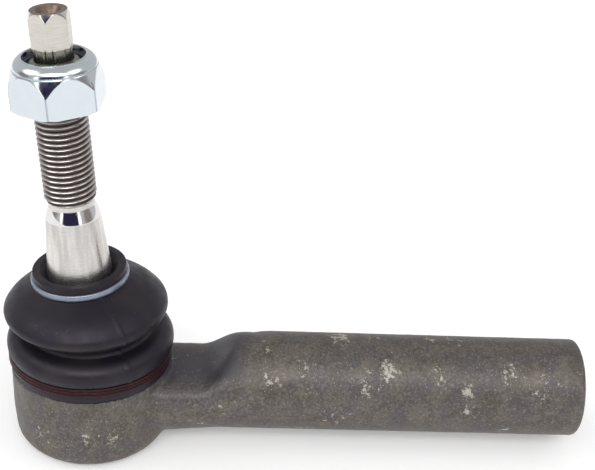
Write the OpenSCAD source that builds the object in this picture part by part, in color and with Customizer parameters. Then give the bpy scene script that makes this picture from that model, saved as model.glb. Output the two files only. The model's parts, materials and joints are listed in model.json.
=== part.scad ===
// Outer tie rod end: a ball joint in a forged steel head with a straight threaded shank.
// Frame: origin at the ball centre, +X along the shank towards its threaded mouth,
// +Z along the head's own axis towards the stud. The stud is drawn leaning by stud_lean.

/* [Head] */
// Outer radius of the round head
head_r = 22.5; // [21.8:0.1:25]
// Height of the head's top shoulder above the ball centre
head_top = 6.3; // [5:0.1:7]
// Depth of the head's flat underside below the ball centre
head_bottom = 17.8; // [17.6:0.1:20]
// Corner radius between the head's wall and its underside
head_corner = 5.2; // [3:0.1:5.4]
// Draft taken off the radius at the underside
head_draft = 0.8; // [0:0.1:1.2]
// Radius of the spigot that the dust boot grips
spigot_r = 19.5; // [19:0.1:20]
// Height of the spigot's rim above the ball centre
spigot_top = 11; // [10:0.1:11.5]

/* [Shank] */
// Radius of the round shank
shank_r = 14.15; // [13:0.05:15]
// Distance from the ball centre to the shank's end face
shank_end = 141.2; // [100:0.1:180]
// Edge rounding at the shank's end
shank_edge = 1.7; // [0.5:0.1:2.5]
// Height of the flat that leads from the head onto the shank
neck_flat = 4.8; // [3:0.1:6]
// Distance of the bevels beside that flat from the shank's axis
neck_bevel = 10.6; // [10:0.1:12]
// Where the flat starts to rise towards the full shank
neck_rise_start = 31; // [28:0.5:34]
// Where the rise reaches the full shank
neck_rise_end = 44; // [40:0.5:60]
// How far the shank's underside drops where it flows into the head
neck_drop = 1.9; // [0.5:0.1:2.2]
// Nominal radius of the shank's female thread
shank_thread_r = 10; // [8:0.5:10]
// Pitch of the shank's female thread
shank_pitch = 1.5; // [1:0.25:2]
// Depth of the full thread from the end face
shank_thread_depth = 76; // [40:1:90]

/* [Ball socket] */
// Ball radius
ball_r = 13.5; // [13:0.1:14]
// Running clearance between the ball and its seats
ball_clearance = 0.05; // [0.02:0.01:0.1]
// Radius of the cavity that holds the seats
cavity_r = 16; // [15.5:0.1:16.5]
// Height of the cavity's shoulder over the upper seat
cavity_top = 8; // [7.5:0.1:8.5]
// Radius of the head's mouth around the stud's neck
mouth_r = 13.1; // [12.9:0.1:13.3]
// Depth of the lower seat's underside below the ball centre
seat_bottom = 13.4; // [12.8:0.1:13.6]
// Thickness of the conical preload washer
spring_t = 1; // [0.8:0.1:1.2]
// Radius of the closing plate
cover_r = 17.3; // [17:0.1:17.5]
// Thickness of the closing plate
cover_t = 1.8; // [1.5:0.1:2.2]

/* [Stud] */
// Lean of the stud away from the shank, in degrees
stud_lean = 4.1; // [0:0.1:16]
// Radius of the neck above the ball
neck_r = 6.75; // [6:0.05:7]
// Height of the taper's large end along the stud
taper_start = 31; // [30:0.5:32]
// Height of the taper's small end along the stud
taper_end = 51; // [48:0.5:52]
// Radius of the taper's small end
taper_small_r = 7.55; // [7.3:0.05:7.8]
// Nominal radius of the stud's thread
thread_r = 7; // [6.9:0.05:7]
// First full thread along the stud
thread_start = 58.5; // [57:0.5:60]
// End of the thread along the stud
thread_end = 96.5; // [96:0.1:98]
// Width across flats of the hexagon drive at the tip
drive_af = 9.6; // [9:0.1:10]
// Bottom of the hexagon drive along the stud
drive_start = 100.2; // [99:0.1:101]
// Tip of the stud
stud_tip = 109.45; // [106:0.05:112]
// Turn of the hexagon drive about the stud, in degrees
drive_turn = 29; // [0:0.1:60]

/* [Lock nut] */
// Width across flats of the lock nut
nut_af = 22; // [21:0.5:24]
// Bottom face of the nut along the stud
nut_bottom = 84.5; // [60:0.1:86]
// Height of the nut's hexagon part
nut_hex_h = 11.1; // [10:0.1:11.5]
// Radius of the round collar on the nut
collar_r = 11; // [10.5:0.1:11]
// Height of the collar above the hexagon
collar_h = 2.2; // [2:0.1:3]
// Turn of the nut about the stud, in degrees
nut_turn = 25.6; // [0:0.1:60]
// Clearance between the nut's bore and the thread's crests
nut_clearance = 0.05; // [0.03:0.01:0.1]

/* [Dust boot] */
// Largest radius of the boot's lower fold
lower_fold_r = 23.3; // [23.2:0.1:24]
// Largest radius of the boot's upper fold
upper_fold_r = 22.6; // [22:0.1:23]
// Wall thickness of the boot
boot_wall = 1.8; // [1.5:0.1:2.2]
// Outer radius of the boot's top lip
lip_r = 12.83; // [12.5:0.01:13]
// Top of the boot's lip along the stud
lip_top = 36.8; // [36:0.1:37.5]
// Outer radius of the steel ring under the lip
ring_r = 13.44; // [13.2:0.01:14]
// Outer radius of the wound wire clamp at the bottom
clamp_r = 23.1; // [22.8:0.1:23.4]

/* [Hidden] */
$fn = 96;
slip = 0.05;                                  // gap between pieces pushed over one another
seat_r = ball_r + ball_clearance;
seat_mouth_r = 11.9;                          // the upper seat still overhangs the ball here
seat_flare_r = 12.6;
grease_hole_r = 6;
spring_h = 1.4;                               // free height of the conical washer in place
cover_top = seat_bottom + spring_h;
cover_bottom = cover_top + cover_t;
rolled_lip_r = cover_r - 2.1;
ball_flat = 11.5;                             // the ball's underside is ground flat here
neck_top = 22;
taper_per_mm = 1 / 12;                        // radius lost per millimetre on a 1 to 6 taper
taper_large_r = taper_small_r + (taper_end - taper_start) * taper_per_mm;
shoulder_start = 52.7;                        // the stud's polished shoulder under the relief
shoulder_end = 56.2;
shoulder_start_r = taper_small_r - (shoulder_start - taper_end) * taper_per_mm;
shoulder_end_r = 6.2;
relief_r = 6.1;
relief_start = 57;
relief_end = 57.3;
drive_neck_r = drive_af / 2 + 0.2;
hex_corner = 1 / cos(30);                     // corner radius of a hexagon of unit flat radius
nut_top = nut_bottom + nut_hex_h + collar_h;
insert_r = 9.5;
insert_top = nut_top - 1.7;
insert_bottom = insert_top - 2.7;
nut_mouth_r = 8;
bevel_turn = 35;                              // how far the neck's bevels lean, in degrees
minor_r = shank_thread_r - 0.5413 * shank_pitch;
clamp_bottom = 8.7;
clamp_top = 11.4;
clamp_groove_r = 21.9;
clamp_wire_r = (clamp_top - clamp_bottom) / 6;
ring_bottom = 33;
ring_top = 34.9;
ring_groove_r = 12.2;
fold_lean = stud_lean / 2;

// Points on an arc of radius r about [cx, cy], from angle a0 to a1
function arc(cx, cy, r, a0, a1, n = 8) =
    [for (i = [0:n]) let (a = a0 + (a1 - a0) * i / n) [cx + r * cos(a), cy + r * sin(a)]];

// Smooth step from 0 to 1
function ease(t) = (1 - cos(180 * t)) / 2;

// Turns a part drawn along +Z onto the leaning stud's axis
module on_stud() {
    rotate([0, -stud_lean, 0]) children();
}

// Turns a part drawn along +Z onto the shank's axis
module on_shank() {
    rotate([0, 90, 0]) children();
}

module head_outside() {
    wall_r = head_r - head_draft;
    draft_top = -6;
    edge = 0.5;
    rotate_extrude()
        polygon(concat(
            [[0, -head_bottom]],
            arc(wall_r - head_corner, -head_bottom + head_corner, head_corner, -90, 0),
            [[head_r, draft_top], [head_r, head_top - edge], [head_r - edge, head_top],
             [spigot_r, head_top], [spigot_r, spigot_top - edge], [spigot_r - edge, spigot_top],
             [0, spigot_top]]));
}

module shank_outside() {
    flow_start = 16;
    flow_end = 36;
    on_shank()
        rotate_extrude()
            polygon(concat(
                [[0, 0], [shank_r, 0]],
                arc(shank_r - shank_edge, shank_end - shank_edge, shank_edge, 0, 90),
                [[0, shank_end]]));
    // the underside slopes down towards the head
    translate([flow_end, 0, 0])
        rotate([0, -90 - atan(neck_drop / (flow_end - flow_start)), 0])
            cylinder(r = shank_r, h = flow_end - flow_start);
}

// What is taken off above a height from the shank's axis, with a smooth rise up to the full shank
module neck_cut(height) {
    rise = shank_r + 0.2 - height;
    steps = 12;
    far = 30;
    rotate([90, 0, 0])
        translate([0, 0, -far])
            linear_extrude(2 * far)
                polygon(concat(
                    [[-far, height]],
                    [for (i = [0:steps]) let (t = i / steps)
                        [neck_rise_start + (neck_rise_end - neck_rise_start) * t,
                         height + rise * ease(t)]],
                    [[neck_rise_end, far], [-far, far]]));
}

module socket_cavity() {
    mouth_step = 1.5;
    mouth_flare = 1.4;
    rotate_extrude()
        polygon([[0, -head_bottom - 1], [rolled_lip_r, -head_bottom - 1],
                 [rolled_lip_r, -cover_bottom], [cover_r + slip, -cover_bottom],
                 [cover_r + slip, -cover_top], [cavity_r, -cover_top],
                 [cavity_r, cavity_top], [mouth_r, cavity_top],
                 [mouth_r, cavity_top + mouth_step], [mouth_r + mouth_flare, spigot_top + 1],
                 [0, spigot_top + 1]]);
}

module shank_bore() {
    drill_point = minor_r * 0.6;
    chamfer = 1.2;
    runout = 4;
    bottom = shank_end - shank_thread_depth - runout;
    on_shank() {
        translate([0, 0, bottom]) cylinder(r = minor_r, h = shank_end - bottom + 1);
        translate([0, 0, bottom - drill_point]) cylinder(r1 = 0, r2 = minor_r, h = drill_point);
        translate([0, 0, shank_end - chamfer])
            cylinder(r1 = minor_r, r2 = minor_r + 2 * chamfer, h = 2 * chamfer);
    }
}

module housing() {
    color([0.40, 0.38, 0.35])
        difference() {
            union() {
                head_outside();
                difference() {
                    shank_outside();
                    neck_cut(neck_flat);
                    for (side = [-1, 1])
                        rotate([side * bevel_turn, 0, 0]) neck_cut(neck_bevel);
                }
            }
            socket_cavity();
            shank_bore();
        }
}

// Upper seat: wraps the ball from its equator up to the mouth
module bearing_upper() {
    a_top = acos(seat_mouth_r / seat_r);
    color([0.90, 0.89, 0.84])
        rotate_extrude()
            polygon(concat(
                arc(0, 0, seat_r, 0, a_top, 12),
                [[seat_flare_r, cavity_top - slip], [cavity_r - slip, cavity_top - slip],
                 [cavity_r - slip, 0]]));
}

// Lower seat: a cup under the ball with a hole that holds grease
module bearing_lower() {
    a_hole = -acos(grease_hole_r / seat_r);
    gap = 0.3;
    color([0.90, 0.89, 0.84])
        rotate_extrude()
            polygon(concat(
                arc(0, 0, seat_r, a_hole, -asin(gap / seat_r), 12),
                [[cavity_r - slip, -gap], [cavity_r - slip, -seat_bottom],
                 [grease_hole_r, -seat_bottom]]));
}

// Conical washer: inner edge under the lower seat, outer edge on the closing plate
module preload_spring() {
    inner_r = 8;
    outer_r = 15;
    drop = spring_h - spring_t;
    color([0.55, 0.56, 0.58])
        translate([0, 0, -seat_bottom])
            rotate_extrude()
                polygon([[inner_r, -slip], [outer_r, -drop], [outer_r, -drop - spring_t + slip],
                         [inner_r, -spring_t]]);
}

// Closing plate with a shallow pressed dish
module cover_plate() {
    dish_r = 9;
    dish = 0.8;
    color([0.62, 0.63, 0.64])
        rotate_extrude()
            polygon([[0, -cover_top - dish - slip], [dish_r - 1, -cover_top - dish - slip],
                     [dish_r, -cover_top - slip], [cover_r, -cover_top - slip],
                     [cover_r, -cover_bottom + slip], [dish_r + 0.6, -cover_bottom + slip],
                     [dish_r - 0.4, -cover_bottom - dish], [0, -cover_bottom - dish]]);
}

// Three turns of flat-wound wire that squeeze the boot's bead onto the spigot
module boot_clamp_wire() {
    turns = 3;
    color([0.22, 0.10, 0.10])
        rotate_extrude()
            union() {
                for (i = [0:turns - 1])
                    translate([clamp_r - clamp_wire_r, clamp_bottom + clamp_wire_r * (2 * i + 1)])
                        circle(r = clamp_wire_r, $fn = 24);
                translate([clamp_groove_r + slip, clamp_bottom + slip])
                    square([clamp_r - clamp_wire_r - clamp_groove_r,
                            clamp_top - clamp_bottom - 2 * slip]);
            }
}

// Lower fold and bead, about the head's axis
module boot_lower() {
    bead_r = 22.4;
    fold_z = 14;
    fold_round = 9;
    valley_z = 18.6;
    valley_r = 21;
    inside_r = spigot_r + slip;
    rotate_extrude()
        polygon(concat(
            [[inside_r, head_top + slip], [bead_r, head_top + slip], [bead_r, clamp_bottom - slip],
             [clamp_groove_r, clamp_bottom - slip], [clamp_groove_r, clamp_top + slip],
             [bead_r + 0.5, clamp_top + slip]],
            arc(lower_fold_r - fold_round, fold_z, fold_round, -12, 22, 8),
            [[valley_r + 0.6, valley_z], [valley_r, valley_z + 2],
             [valley_r - boot_wall, valley_z + 2], [valley_r + 0.4 - boot_wall, valley_z - 1]],
            arc(lower_fold_r - fold_round, fold_z, fold_round - boot_wall, 16, -8, 6),
            [[inside_r, spigot_top + 0.3]]));
}

// Upper fold, about an axis that leans half as far as the stud
module boot_upper() {
    rim_r = 2.4;
    rim_s = 24.6;
    shoulder_s = 32.4;
    shoulder_out_r = ring_groove_r + 1.6;
    shoulder_in_r = ring_groove_r - 0.6;
    foot_r = 20.4;
    foot_s = 17.4;
    slope = 45;
    rotate([0, -fold_lean, 0])
        rotate_extrude()
            polygon(concat(
                [[foot_r, foot_s]],
                arc(upper_fold_r - rim_r, rim_s, rim_r, -40, slope, 8),
                [[shoulder_out_r, shoulder_s], [shoulder_in_r, shoulder_s],
                 [shoulder_in_r, shoulder_s - boot_wall - 1.4]],
                arc(upper_fold_r - rim_r, rim_s, rim_r - boot_wall + 0.3, slope, -30, 6),
                [[foot_r - boot_wall, foot_s]]));
}

// Collar and lip, about the stud's axis
module boot_lip() {
    bevel_r = 10.8;
    bevel_drop = 2;
    edge = 0.3;
    skirt = 3;
    lip_inner = taper_large_r + 2 * slip;
    on_stud()
        rotate_extrude()
            polygon([[lip_inner, ring_bottom - skirt], [ring_groove_r, ring_bottom - skirt],
                     [ring_groove_r, ring_top + slip], [lip_r, ring_top + slip],
                     [lip_r, lip_top - edge], [lip_r - edge, lip_top], [bevel_r, lip_top],
                     [lip_inner, lip_top - bevel_drop]]);
}

module dust_boot() {
    color([0.09, 0.09, 0.10])
        union() {
            boot_lower();
            boot_upper();
            boot_lip();
        }
}

module boot_top_ring() {
    edge = 0.4;
    color([0.50, 0.53, 0.60])
        on_stud()
            rotate_extrude()
                polygon([[ring_groove_r + slip, ring_bottom], [ring_r - edge, ring_bottom],
                         [ring_r, ring_bottom + edge], [ring_r, ring_top - edge],
                         [ring_r - edge, ring_top], [ring_groove_r + slip, ring_top]]);
}

// Everything on the stud that is round, from the ball's flat to the neck under the drive
module stud_round() {
    a_flat = -asin(ball_flat / ball_r);
    a_neck = acos(neck_r / ball_r);
    land = 0.6;
    chamfer = 1;
    overlap = 0.5;
    rotate_extrude()
        polygon(concat(
            [[0, -ball_flat]],
            arc(0, 0, ball_r, a_flat, a_neck, 24),
            [[neck_r, neck_top], [taper_large_r, taper_start - land],
             [taper_large_r, taper_start], [shoulder_start_r, shoulder_start],
             [shoulder_end_r, shoulder_end], [relief_r, relief_start], [relief_r, relief_end],
             [thread_r, thread_start], [thread_r, thread_end - chamfer],
             [thread_r - chamfer, thread_end], [drive_neck_r, thread_end],
             [drive_neck_r, drive_start + overlap], [0, drive_start + overlap]]));
}

// Hexagon drive with its corners chamfered and a centre hole in its end
module stud_drive() {
    rim_r = 4.62;
    chamfer_slope = 0.6;
    hole_r = 3.3;
    hole_depth = hole_r * 1.2;
    pilot_r = 1.2;
    pilot_depth = 6;
    height = stud_tip - drive_start;
    translate([0, 0, drive_start])
        difference() {
            intersection() {
                rotate(drive_turn) cylinder(r = drive_af / 2 * hex_corner, h = height, $fn = 6);
                cylinder(r1 = rim_r + height * chamfer_slope, r2 = rim_r, h = height);
            }
            translate([0, 0, height - hole_depth]) cylinder(r1 = 0, r2 = hole_r, h = hole_depth);
            translate([0, 0, height - pilot_depth]) cylinder(r = pilot_r, h = pilot_depth + 1);
            translate([0, 0, height - 0.01]) cylinder(r = hole_r, h = 1);
        }
}

module ball_stud() {
    color([0.72, 0.71, 0.69])
        on_stud()
            union() {
                stud_round();
                stud_drive();
            }
}

// Nylon ring that grips the thread
module lock_nut_insert() {
    color([0.16, 0.18, 0.24])
        on_stud()
            translate([0, 0, insert_bottom])
                difference() {
                    cylinder(r = insert_r - slip, h = insert_top - insert_bottom);
                    translate([0, 0, -1])
                        cylinder(r = thread_r + nut_clearance, h = insert_top - insert_bottom + 2);
                }
}

module nut_collar() {
    round_r = 2.6;
    base = nut_bottom + nut_hex_h - 1;
    rotate_extrude()
        polygon(concat(
            [[0, base], [collar_r, base]],
            arc(collar_r - round_r, nut_top - round_r, round_r, 0, 75),
            [[0, nut_top - 0.1]]));
}

module lock_nut() {
    chamfer_r = nut_af / 2 - 0.1;
    top_slope = 0.4;
    bottom_slope = 1.8;
    bottom_corner = 0.7;
    countersink = 0.8;
    nut_h = nut_top - nut_bottom;
    color([0.80, 0.83, 0.87])
        on_stud()
            difference() {
                union() {
                    translate([0, 0, nut_bottom])
                        intersection() {
                            rotate(nut_turn)
                                cylinder(r = nut_af / 2 * hex_corner, h = nut_hex_h, $fn = 6);
                            cylinder(r1 = chamfer_r + nut_hex_h * top_slope, r2 = chamfer_r,
                                     h = nut_hex_h);
                            cylinder(r1 = nut_af / 2 + bottom_corner,
                                     r2 = nut_af / 2 + bottom_corner + nut_hex_h * bottom_slope,
                                     h = nut_hex_h);
                        }
                    nut_collar();
                }
                translate([0, 0, nut_bottom - 1])
                    cylinder(r = thread_r + nut_clearance, h = nut_h + 2);
                translate([0, 0, insert_bottom - slip])
                    cylinder(r = insert_r, h = insert_top - insert_bottom + 2 * slip);
                translate([0, 0, insert_top]) cylinder(r = nut_mouth_r, h = nut_h);
                translate([0, 0, nut_bottom - 0.01])
                    cylinder(r1 = thread_r + countersink, r2 = thread_r, h = countersink);
            }
}

housing();
bearing_upper();
bearing_lower();
preload_spring();
cover_plate();
boot_clamp_wire();
dust_boot();
boot_top_ring();
ball_stud();
lock_nut_insert();
lock_nut();
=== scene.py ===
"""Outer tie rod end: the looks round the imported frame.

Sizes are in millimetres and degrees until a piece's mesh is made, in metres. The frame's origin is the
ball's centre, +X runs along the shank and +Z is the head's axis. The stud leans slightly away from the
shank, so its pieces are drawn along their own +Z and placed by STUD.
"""

import json
import math

import bmesh
import bpy
import numpy as np
from mathutils import Matrix, Vector, noise


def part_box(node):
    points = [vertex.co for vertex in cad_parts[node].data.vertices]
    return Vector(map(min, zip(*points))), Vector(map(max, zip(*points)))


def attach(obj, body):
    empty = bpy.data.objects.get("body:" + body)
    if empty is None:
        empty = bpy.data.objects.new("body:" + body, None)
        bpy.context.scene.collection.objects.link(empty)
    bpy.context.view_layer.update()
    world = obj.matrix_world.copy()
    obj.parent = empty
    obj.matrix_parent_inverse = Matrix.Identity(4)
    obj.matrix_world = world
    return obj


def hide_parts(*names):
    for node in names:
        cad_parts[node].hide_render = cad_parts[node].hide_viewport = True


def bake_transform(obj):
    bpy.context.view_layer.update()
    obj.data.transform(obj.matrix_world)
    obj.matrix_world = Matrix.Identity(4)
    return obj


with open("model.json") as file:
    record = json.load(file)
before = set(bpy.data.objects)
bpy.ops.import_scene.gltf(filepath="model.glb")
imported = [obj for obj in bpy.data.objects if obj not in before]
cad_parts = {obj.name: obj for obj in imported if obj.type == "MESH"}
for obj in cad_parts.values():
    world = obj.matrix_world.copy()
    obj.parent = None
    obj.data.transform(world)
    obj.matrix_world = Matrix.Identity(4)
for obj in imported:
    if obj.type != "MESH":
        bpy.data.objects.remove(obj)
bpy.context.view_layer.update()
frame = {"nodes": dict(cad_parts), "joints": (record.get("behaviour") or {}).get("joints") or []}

MM = 0.001
TAU = 2 * math.pi


# ---------------------------------------------------------------- what the frame says

def joint_axis(name):
    """Direction of a joint's axis, in the frame."""
    return Vector(next(j for j in frame["joints"] if j["name"] == name)["axis"])


HOUSING_LOW, HOUSING_HIGH = (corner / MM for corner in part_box("housing"))
FLOOR_Z = HOUSING_LOW.z
SHANK_END = HOUSING_HIGH.x
HEAD_BOTTOM = -HOUSING_LOW.z
HEAD_R = -HOUSING_LOW.x
STUD_AXIS = joint_axis("nut_travel").normalized()
STUD_LEAN = math.degrees(math.atan2(-STUD_AXIS.x, STUD_AXIS.z))
STUD = Matrix.Rotation(math.radians(-STUD_LEAN), 4, "Y")
AS_DRAWN = Matrix.Identity(4)


# ---------------------------------------------------------------- numbers and curves

def smoothstep(t):
    t = np.clip(t, 0, 1)
    return t * t * (3 - 2 * t)


def soft_min(a, b, k):
    """The smaller of two values, with the crease between them rounded over a width k."""
    h = np.clip(k - np.abs(a - b), 0, None) / k
    return np.minimum(a, b) - h * h * k / 4


def soft_max(a, b, k):
    return -soft_min(-a, -b, k)


def round_max(a, b, radius):
    """Intersection of two distance fields whose shared edge has that radius."""
    outside = np.hypot(np.maximum(a + radius, 0), np.maximum(b + radius, 0))
    return np.minimum(np.maximum(a, b), -radius) + outside


def arc(cx, cz, radius, start, end, steps=10):
    """Points on an arc about (cx, cz), with angles in degrees from the +r direction."""
    angles = np.radians(np.linspace(start, end, steps + 1))
    return [(cx + radius * math.cos(a), cz + radius * math.sin(a)) for a in angles]


def rounded(corners, steps=5, closed=False):
    """A profile from corners (r, z) or (r, z, fillet), with an arc in place of each filleted corner."""
    count = len(corners)
    points = []
    for i, corner in enumerate(corners):
        here = np.array(corner[:2], float)
        fillet = corner[2] if len(corner) > 2 else 0
        if not fillet or (not closed and i in (0, count - 1)):
            points.append(tuple(here))
            continue
        before = np.array(corners[i - 1][:2], float) - here
        after = np.array(corners[(i + 1) % count][:2], float) - here
        room = 0.49 * min(np.linalg.norm(before), np.linalg.norm(after))
        before, after = before / np.linalg.norm(before), after / np.linalg.norm(after)
        half = math.acos(np.clip(before @ after, -1, 1)) / 2
        if abs(half - math.pi / 2) < 1e-3:
            points.append(tuple(here))
            continue
        reach = min(fillet / math.tan(half), room)
        radius = reach * math.tan(half)
        middle = here + (before + after) / np.linalg.norm(before + after) * radius / math.sin(half)
        first, last = here + before * reach - middle, here + after * reach - middle
        a0, a1 = math.atan2(first[1], first[0]), math.atan2(last[1], last[0])
        turn = (a1 - a0 + math.pi) % TAU - math.pi
        for k in range(steps + 1):
            a = a0 + turn * k / steps
            points.append((middle[0] + radius * math.cos(a), middle[1] + radius * math.sin(a)))
    return points


def hexagon(theta, flat, turn, soft):
    """Radius of a hexagon with that flat distance at each angle, its corners rounded over soft."""
    sector = TAU / 6
    a = (theta - math.radians(turn)) % sector
    return soft_min(flat / np.cos(a - sector / 2),
                    np.minimum(flat / np.cos(a + sector / 2), flat / np.cos(a - 1.5 * sector)), soft)


# ---------------------------------------------------------------- meshes

class Shell:
    """Vertices and faces of one piece while it is put together, in millimetres."""

    def __init__(self, segments):
        self.segments = segments
        self.theta = np.arange(segments) * TAU / segments
        self.points = []
        self.faces = []
        self.depth = []

    def add(self, points, depth=None):
        """Adds points and returns the index of the first.

        Depth is how far each point lies in a thread's groove, from 0 at the crest.
        """
        first = len(self.points)
        self.points.extend(map(tuple, points))
        self.depth.extend(np.zeros(len(points)) if depth is None else depth)
        return first

    def lathe(self, profile, closed=False, radius_at=None, lean_at=None):
        """Turns a profile of (r, z) points about the axis. radius_at(theta, r, z) may reshape a ring."""
        rings = []
        for r, z in profile:
            if r < 1e-6:
                rings.append([self.add([(0, 0, z)])] * self.segments)
                continue
            radii = np.full(self.segments, r) if radius_at is None else radius_at(self.theta, r, z)
            ring = np.stack([radii * np.cos(self.theta), radii * np.sin(self.theta),
                             np.full(self.segments, z)], 1)
            if lean_at is not None:
                lean = -math.radians(lean_at(z))
                ring = ring @ np.array(Matrix.Rotation(lean, 3, "Y")).T
            first = self.add(ring)
            rings.append(list(range(first, first + self.segments)))
        pairs = list(zip(rings, rings[1:])) + ([(rings[-1], rings[0])] if closed else [])
        for low, high in pairs:
            for j in range(self.segments):
                k = (j + 1) % self.segments
                corners = dict.fromkeys((low[j], low[k], high[k], high[j]))
                if len(corners) > 2:
                    self.faces.append(tuple(corners))

    def thread(self, start, end, pitch, rows, radius_at):
        """A helical surface from start to end whose rows follow the thread, so that its crests stay crisp.

        radius_at(z, phase) gives a radius and the value kept in the groove attribute. At the two ends it
        doesn't depend on the phase.
        """
        last = math.ceil((end - start) / pitch * rows)
        numbers = np.arange(-rows, last + 1)
        k, j = np.meshgrid(numbers, np.arange(self.segments), indexing="ij")
        z = start + (k / rows + j / self.segments) * pitch
        inside = (z > start) & (z < end)
        z = np.clip(z, start, end)
        radius, depth = radius_at(z, np.where(inside, (k / rows) % 1.0, 0.0))
        angle = self.theta[j]
        first = self.add(np.stack([radius * np.cos(angle), radius * np.sin(angle), z], -1).reshape(-1, 3),
                         depth.reshape(-1))

        def index(row, column):
            if column == self.segments:
                row, column = min(row + rows, len(numbers) - 1), 0
            return first + row * self.segments + column

        for row in range(len(numbers) - 1):
            for column in range(self.segments):
                self.faces.append((index(row, column), index(row, column + 1),
                                   index(row + 1, column + 1), index(row + 1, column)))


def build_mesh(name, shell):
    """A mesh in metres from a shell: coinciding rings merged, small holes filled, normals outwards."""
    mesh = bpy.data.meshes.new(name)
    mesh.from_pydata([tuple(c * MM for c in p) for p in shell.points], [], shell.faces)
    groove = mesh.attributes.new("groove", "FLOAT", "POINT")
    groove.data.foreach_set("value", np.array(shell.depth, np.float32))
    work = bmesh.new()
    work.from_mesh(mesh)
    bmesh.ops.remove_doubles(work, verts=work.verts, dist=1e-7)
    bmesh.ops.dissolve_degenerate(work, edges=work.edges, dist=1e-8)
    bmesh.ops.holes_fill(work, edges=[edge for edge in work.edges if edge.is_boundary], sides=4)
    bmesh.ops.recalc_face_normals(work, faces=work.faces)
    if work.calc_volume(signed=True) < 0:
        bmesh.ops.reverse_faces(work, faces=work.faces)
    work.to_mesh(mesh)
    work.free()
    return mesh


def build_piece(name, mesh, place=AS_DRAWN, sharp=40):
    """Puts a mesh in the scene. Edges sharper than that many degrees stay crisp."""
    mesh.shade_smooth()
    mesh.set_sharp_from_angle(angle=math.radians(sharp))
    piece = bpy.data.objects.new(name, mesh)
    bpy.context.scene.collection.objects.link(piece)
    piece.matrix_world = place
    return piece


def subtract(piece, tools):
    """Cuts closed tool meshes out of a piece."""
    for tool in tools:
        cut = piece.modifiers.new("cut", "BOOLEAN")
        cut.operation = "DIFFERENCE"
        cut.solver = "MANIFOLD"
        cut.object = tool
    bpy.context.view_layer.update()
    evaluated = piece.evaluated_get(bpy.context.evaluated_depsgraph_get())
    mesh = bpy.data.meshes.new_from_object(evaluated)
    piece.modifiers.clear()
    for tool in tools:
        bpy.data.objects.remove(tool)
    return mesh


def surface_net(field, low, high, step):
    """Quads on the zero surface of a field, projected onto it."""
    axes = [np.arange(a - step, b + 2 * step, step) for a, b in zip(low, high)]
    grid = np.stack(np.meshgrid(*axes, indexing="ij"), -1)
    values = field(grid)
    inside = values < 0
    size = np.array(values.shape)
    corners = [(a, b, c) for a in (0, 1) for b in (0, 1) for c in (0, 1)]
    full = [inside[a:size[0] - 1 + a, b:size[1] - 1 + b, c:size[2] - 1 + c] for a, b, c in corners]
    count = sum(part.astype(int) for part in full)
    active = (count > 0) & (count < 8)
    number = np.full(active.shape, -1)
    number[active] = np.arange(active.sum())
    points = grid[:-1, :-1, :-1][active] + step / 2
    nudge = 0.02
    for _ in range(6):
        value = field(points)
        slope = np.stack([(field(points + offset) - field(points - offset)) / (2 * nudge)
                          for offset in np.eye(3) * nudge], -1)
        points = points - slope * (value / np.maximum((slope ** 2).sum(-1), 1e-6))[:, None] * 0.85
    faces = []
    for axis in range(3):
        near = np.moveaxis(inside, axis, 0)
        crossing = near[:-1] != near[1:]
        cells = np.moveaxis(number, axis, 0)
        i, j, k = np.nonzero(crossing[:, 1:-1, 1:-1])
        j, k = j + 1, k + 1
        quad = np.stack([cells[i, j - 1, k - 1], cells[i, j, k - 1], cells[i, j, k], cells[i, j - 1, k]], 1)
        flip = near[i, j, k] == (axis == 1)
        quad[flip] = quad[flip][:, ::-1]
        faces.append(quad)
    return points, np.concatenate(faces)


# ---------------------------------------------------------------- materials

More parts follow.
